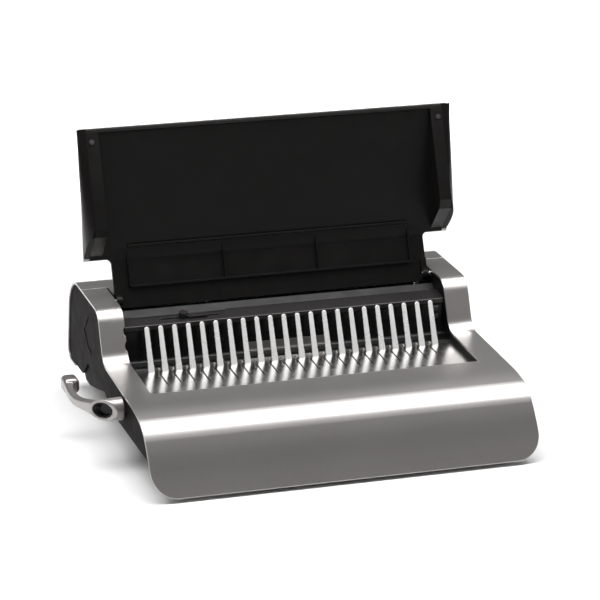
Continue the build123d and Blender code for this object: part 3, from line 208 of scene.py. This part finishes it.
def gloss_plastic(name, color, roughness=0.12, shine=0.35):
    """Polished moulding: almost smooth, with faint ripples and rubbed patches."""
    recipe = Recipe(name)
    recipe.set(Specular_IOR_Level=shine)
    cloud = recipe.noise(30.0, detail=4.0)
    tone = recipe.mixed(cloud, shade(color, 0.85), shade(color, 1.2))
    normal, edge_wear_and_sheen = recipe.soft_edges(0.4 * MM)
    final = recipe.mixed(recipe.remap(edge_wear_and_sheen, 0.0, 0.5), tone, shade(color, 1.8))
    ripple = recipe.noise(140.0, detail=2.0)
    normal = recipe.bump(ripple, 0.03, 0.3 * MM, normal)
    rubbed = recipe.noise(400.0, detail=4.0)
    rough = recipe.remap(rubbed, roughness - 0.03, roughness + 0.09, 0.35, 0.75)
    return recipe.finish(final, rough, normal)


def brushed_metal(name, color, roughness, along=(1, 0, 0)):
    """Metal with fine brush lines along the axes marked with 1, and slightly polished edges."""
    recipe = Recipe(name)
    recipe.set(Metallic=1.0)
    scale = tuple(0.02 if part else 1.0 for part in along)
    lines = recipe.noise(3800, detail=3.0, place=recipe.stretched(scale))
    cloud = recipe.noise(18.0, detail=4.0)
    streak = recipe.mixed(lines, shade(color, 0.86), shade(color, 1.12))
    tone = recipe.mixed(recipe.remap(cloud, 0.0, 0.3, 0.4, 0.8), streak, shade(color, 0.8))
    normal, edge_wear_and_sheen = recipe.soft_edges(0.25 * MM)
    final = recipe.mixed(recipe.remap(edge_wear_and_sheen, 0.0, 0.5), tone, shade(color, 1.25))
    normal = recipe.bump(lines, 0.05, 0.05 * MM, normal)
    rough = recipe.remap(lines, roughness - 0.05, roughness + 0.08, 0.3, 0.7)
    return recipe.finish(final, rough, normal)


def nickel(name, color, roughness):
    """Pale satin nickel: a bright finish with soft clouding and faint drawn lines."""
    recipe = Recipe(name)
    recipe.set(Metallic=0.45, Specular_IOR_Level=0.8)
    lines = recipe.noise(2600, detail=2.0, place=recipe.stretched((1.0, 1.0, 0.03)))
    tone = recipe.mixed(lines, shade(color, 0.95), color)
    normal, edge_wear_and_sheen = recipe.soft_edges(0.3 * MM)
    final = recipe.mixed(recipe.remap(edge_wear_and_sheen, 0.0, 0.5), tone, (1.0, 1.0, 1.0))
    normal = recipe.bump(lines, 0.03, 0.05 * MM, normal)
    rough = recipe.remap(recipe.noise(70.0), roughness - 0.05, roughness + 0.08, 0.3, 0.7)
    return recipe.finish(final, rough, normal)


def zinc_sheet(name, color, roughness):
    """Zinc-plated sheet with faint cloudy spangle."""
    recipe = Recipe(name)
    recipe.set(Metallic=1.0)
    spangle = recipe.cells(160.0)
    cloud = recipe.noise(35.0, detail=4.0)
    tone = recipe.mixed(spangle, shade(color, 0.9), shade(color, 1.08))
    final = recipe.mixed(recipe.remap(cloud, 0.0, 0.4, 0.45, 0.8), tone, (0.55, 0.50, 0.40))
    normal, edge_wear_and_sheen = recipe.soft_edges(0.3 * MM)
    final = recipe.mixed(recipe.remap(edge_wear_and_sheen, 0.0, 0.5), final, shade(color, 1.2))
    normal = recipe.bump(recipe.noise(700.0), 0.04, 0.1 * MM, normal)
    rough = recipe.remap(spangle, roughness - 0.05, roughness + 0.1, 0.1, 0.7)
    return recipe.finish(final, rough, normal)


def cast_metal(name, color, roughness):
    """Die-cast alloy with a satin coat: soft casting texture, rubbed bright on the edges."""
    recipe = Recipe(name)
    recipe.set(Metallic=0.75, Coat_Weight=0.2, Coat_Roughness=0.2)
    cloud = recipe.noise(45.0, detail=5.0)
    patches = recipe.remap(cloud, 0.0, 1.0, 0.3, 0.7)
    tone = recipe.mixed(patches, shade(color, 0.9), shade(color, 1.06))
    normal, edge_wear_and_sheen = recipe.soft_edges(0.6 * MM)
    final = recipe.mixed(recipe.remap(edge_wear_and_sheen, 0.0, 0.5), tone, shade(color, 1.3))
    grain = recipe.noise(1500.0, detail=3.0)
    normal = recipe.bump(grain, 0.09, 0.15 * MM, normal)
    rough = recipe.remap(cloud, roughness - 0.05, roughness + 0.08, 0.3, 0.7)
    return recipe.finish(final, rough, normal)


def rubber(name, color):
    """Matt moulded rubber, slightly dusty."""
    recipe = Recipe(name)
    recipe.set(Specular_IOR_Level=0.3)
    dust = recipe.noise(80.0, detail=6.0, roughness=0.65)
    final = recipe.mixed(recipe.remap(dust, 0.0, 0.5, 0.45, 0.8), color, (0.12, 0.12, 0.115))
    normal, _ = recipe.soft_edges(0.5 * MM)
    normal = recipe.bump(recipe.noise(1800.0, detail=2.0), 0.2, 0.15 * MM, normal)
    rough = recipe.remap(dust, 0.7, 0.9, 0.3, 0.7)
    return recipe.finish(final, rough, normal)


def circuit_board(name):
    """Green solder mask over faint copper tracks."""
    recipe = Recipe(name)
    recipe.set(Coat_Weight=0.4, Coat_Roughness=0.15)
    tracks = recipe.node("ShaderNodeTexBrick")
    tracks.inputs["Scale"].default_value = 240.0
    tracks.inputs["Mortar Size"].default_value = 0.06
    recipe.link(recipe.place, tracks.inputs["Vector"])
    final = recipe.mixed(tracks.outputs["Fac"], (0.012, 0.10, 0.035), (0.03, 0.19, 0.07))
    normal = recipe.bump(tracks.outputs["Fac"], 0.2, 0.05 * MM)
    rough = recipe.remap(recipe.noise(90.0), 0.25, 0.4)
    return recipe.finish(final, rough, normal)


MATERIALS = {
    "silver_sheet": satin_paint("silver_sheet", (0.47, 0.455, 0.445), 0.3, edge=1.2 * MM),
    "charcoal_plastic": moulded_plastic(
        "charcoal_plastic", (0.010, 0.0082, 0.0082), 0.6, shine=0.03
    ),
    "base_plastic": moulded_plastic("base_plastic", (0.010, 0.009, 0.009), 0.6, shine=0.05),
    "black_plastic": gloss_plastic("black_plastic", (0.006, 0.005, 0.005), 0.25, shine=0.2),
    "foot_rubber": rubber("foot_rubber", (0.018, 0.018, 0.018)),
    "zinc_screw": zinc_sheet("zinc_screw", (0.62, 0.61, 0.58), 0.3),
    "zinc_plate": zinc_sheet("zinc_plate", (0.56, 0.55, 0.52), 0.38),
    "turned_steel": brushed_metal("turned_steel", (0.56, 0.56, 0.56), 0.24, along=(0, 1, 1)),
    "polished_steel": brushed_metal("polished_steel", (0.62, 0.61, 0.60), 0.2),
    "bright_steel": nickel("bright_steel", (1.0, 0.995, 0.99), 0.3),
    "cheek_plastic": moulded_plastic("cheek_plastic", (0.005, 0.0045, 0.0045), 0.4, shine=0.1),
    "trough_gloss": gloss_plastic("trough_gloss", (0.003, 0.003, 0.003), 0.2, shine=0.14),
    "key_plastic": moulded_plastic("key_plastic", (0.035, 0.034, 0.034), 0.45, shine=0.2),
    "satin_strip": brushed_metal("satin_strip", (0.13, 0.125, 0.122), 0.42),
    "circuit_board": circuit_board("circuit_board"),
    "dark_satin_metal": satin_paint("dark_satin_metal", (0.020, 0.018, 0.018), 0.38, metallic=0.5),
    "guide_plastic": moulded_plastic("guide_plastic", (0.012, 0.011, 0.011), 0.3),
    "tool_steel": brushed_metal("tool_steel", (0.36, 0.36, 0.37), 0.3),
    "gear_plastic": moulded_plastic("gear_plastic", (0.70, 0.67, 0.58), 0.4, worn_tone=1.1),
    "bronze_bush": cast_metal("bronze_bush", (0.50, 0.33, 0.15), 0.4),
    "motor_can": brushed_metal("motor_can", (0.50, 0.50, 0.49), 0.28),
    "tray_plastic": moulded_plastic("tray_plastic", (0.028, 0.027, 0.028), 0.5),
    "supply_case": zinc_sheet("supply_case", (0.58, 0.58, 0.58), 0.36),
    "rocker_plastic": gloss_plastic("rocker_plastic", (0.012, 0.012, 0.012), 0.14),
    "lid_plastic": moulded_plastic(
        "lid_plastic", (0.0045, 0.0040, 0.0038), 0.36, texture=0.06, shine=0.18
    ),
    "gloss_black": gloss_plastic("gloss_black", (0.006, 0.005, 0.005), 0.3, shine=0.06),
    "cast_grey": cast_metal("cast_grey", (0.32, 0.305, 0.295), 0.3),
}


def dress(obj, material):
    """Gives the whole piece one material."""
    obj.data.materials.clear()
    obj.data.materials.append(material)


# The rear guide shares a slot with the throat bar, and has a plainer, more matt look.
REAR_GUIDE = moulded_plastic("rear_guide", (0.008, 0.0075, 0.0075), 0.4, shine=0.2)


def smooth_shaded(node):
    """Smooth shading on the piece's curved faces, with its sharp edges kept."""
    for polygon in node.data.polygons:
        polygon.use_smooth = True
    weld = node.modifiers.new("weld", "WELD")
    weld.merge_threshold = 0.001 * MM
    split = node.modifiers.new("split", "EDGE_SPLIT")
    split.split_angle = SPLIT_ANGLE
    node.modifiers.new("weighted", "WEIGHTED_NORMAL").keep_sharp = True


def cast_soft(node):
    """Soft blends and rounded edges on a cast piece, in place of its sharp meeting lines."""
    weld = node.modifiers.new("weld", "WELD")
    weld.merge_threshold = 0.01 * MM
    remesh = node.modifiers.new("remesh", "REMESH")
    remesh.mode = "VOXEL"
    remesh.voxel_size = CAST_VOXEL
    remesh.use_smooth_shade = True
    smooth = node.modifiers.new("smooth", "SMOOTH")
    smooth.factor = 0.5
    smooth.iterations = CAST_PASSES


for node_name, node_object in NODES.items():
    dress(node_object, REAR_GUIDE if node_name == "rear_guide" else MATERIALS[SLOT_OF[node_name]])
    if node_name == "lever":
        cast_soft(node_object)
    else:
        smooth_shaded(node_object)


# ---------------------------------------------------------------- camera, lights and floor

def placed(name, data, location, direction):
    """A new object in the scene that looks along the direction, with +Y up in its view."""
    obj = bpy.data.objects.new(name, data)
    bpy.context.scene.collection.objects.link(obj)
    obj.location = location
    obj.rotation_mode = "QUATERNION"
    obj.rotation_quaternion = direction.to_track_quat("-Z", "Y")
    return obj


def add_camera():
    """A long lens from the front left, a little above the machine."""
    data = bpy.data.cameras.new("camera")
    data.lens = CAMERA_LENS
    data.sensor_width = CAMERA_SENSOR
    data.clip_end = 50.0
    view = Vector((
        -math.sin(CAMERA_AZIMUTH) * math.cos(CAMERA_ELEVATION),
        math.cos(CAMERA_AZIMUTH) * math.cos(CAMERA_ELEVATION),
        -math.sin(CAMERA_ELEVATION),
    ))
    bpy.context.scene.camera = placed("camera", data, CAMERA_PLACE, view)


def softbox(name, place, width, depth, power, spread=180.0):
    """A rectangular lamp that hangs at the place and shines straight down."""
    data = bpy.data.lights.new(name, "AREA")
    data.shape = "RECTANGLE"
    data.size = width
    data.size_y = depth
    data.energy = power
    data.spread = math.radians(spread)
    placed(name, data, place, Vector((0, 0, -1)))


def add_floor():
    """A pale matt floor that reaches far past the view."""
    mesh = bpy.data.meshes.new("studio_floor")
    half = FLOOR_HALF
    corners = [(-half, -half, 0), (half, -half, 0), (half, half, 0), (-half, half, 0)]
    mesh.from_pydata(corners, [], [(0, 1, 2, 3)])
    floor = bpy.data.objects.new("studio_floor", mesh)
    bpy.context.scene.collection.objects.link(floor)
    recipe = Recipe("studio_floor")
    recipe.set(Specular_IOR_Level=0.1)
    tone = recipe.mixed(recipe.noise(1.5), (0.90, 0.90, 0.90), (0.92, 0.92, 0.92))
    normal = recipe.bump(recipe.noise(600.0), 0.02, 0.2 * MM)
    dress(floor, recipe.finish(tone, recipe.remap(recipe.noise(3.0), 0.75, 0.85), normal))


def add_world():
    """A plain room: one level in front, one behind, and a darker one overhead."""
    world = bpy.data.worlds.new("studio")
    world.use_nodes = True
    tree = world.node_tree
    background = tree.nodes["Background"]
    background.inputs["Color"].default_value = (*ROOM_COLOR, 1.0)
    direction = tree.nodes.new("ShaderNodeTexCoord")
    split = tree.nodes.new("ShaderNodeSeparateXYZ")
    tree.links.new(direction.outputs["Generated"], split.inputs[0])
    depth = tree.nodes.new("ShaderNodeMapRange")
    depth.inputs["From Min"].default_value = -ROOM_BLEND
    depth.inputs["From Max"].default_value = ROOM_BLEND
    depth.inputs["To Min"].default_value = ROOM_FRONT
    depth.inputs["To Max"].default_value = ROOM_BACK
    tree.links.new(split.outputs["Y"], depth.inputs["Value"])
    height = tree.nodes.new("ShaderNodeMapRange")
    height.interpolation_type = "SMOOTHSTEP"
    height.inputs["From Min"].default_value = HIGH_START
    height.inputs["From Max"].default_value = HIGH_FULL
    height.inputs["To Max"].default_value = ROOM_HIGH
    tree.links.new(split.outputs["Z"], height.inputs["Value"])
    tree.links.new(depth.outputs["Result"], height.inputs["To Min"])
    tree.links.new(height.outputs["Result"], background.inputs["Strength"])
    bpy.context.scene.world = world


add_camera()
add_floor()
add_world()

# The bent sheet mirrors the two boxes overhead, which gives it its bright bands.
softbox("near", (0.0, -0.004, 0.562), 1.5, 0.43, 5.2)
softbox("far", (0.0, 0.29, 2.3), 5.0, 1.1, 80.0)
softbox("floor_wash", (0.6, 2.1, 2.1), 5.0, 1.9, 60.0, spread=50.0)

bpy.context.scene.view_settings.view_transform = "Standard"
bpy.context.scene.view_settings.look = "None"
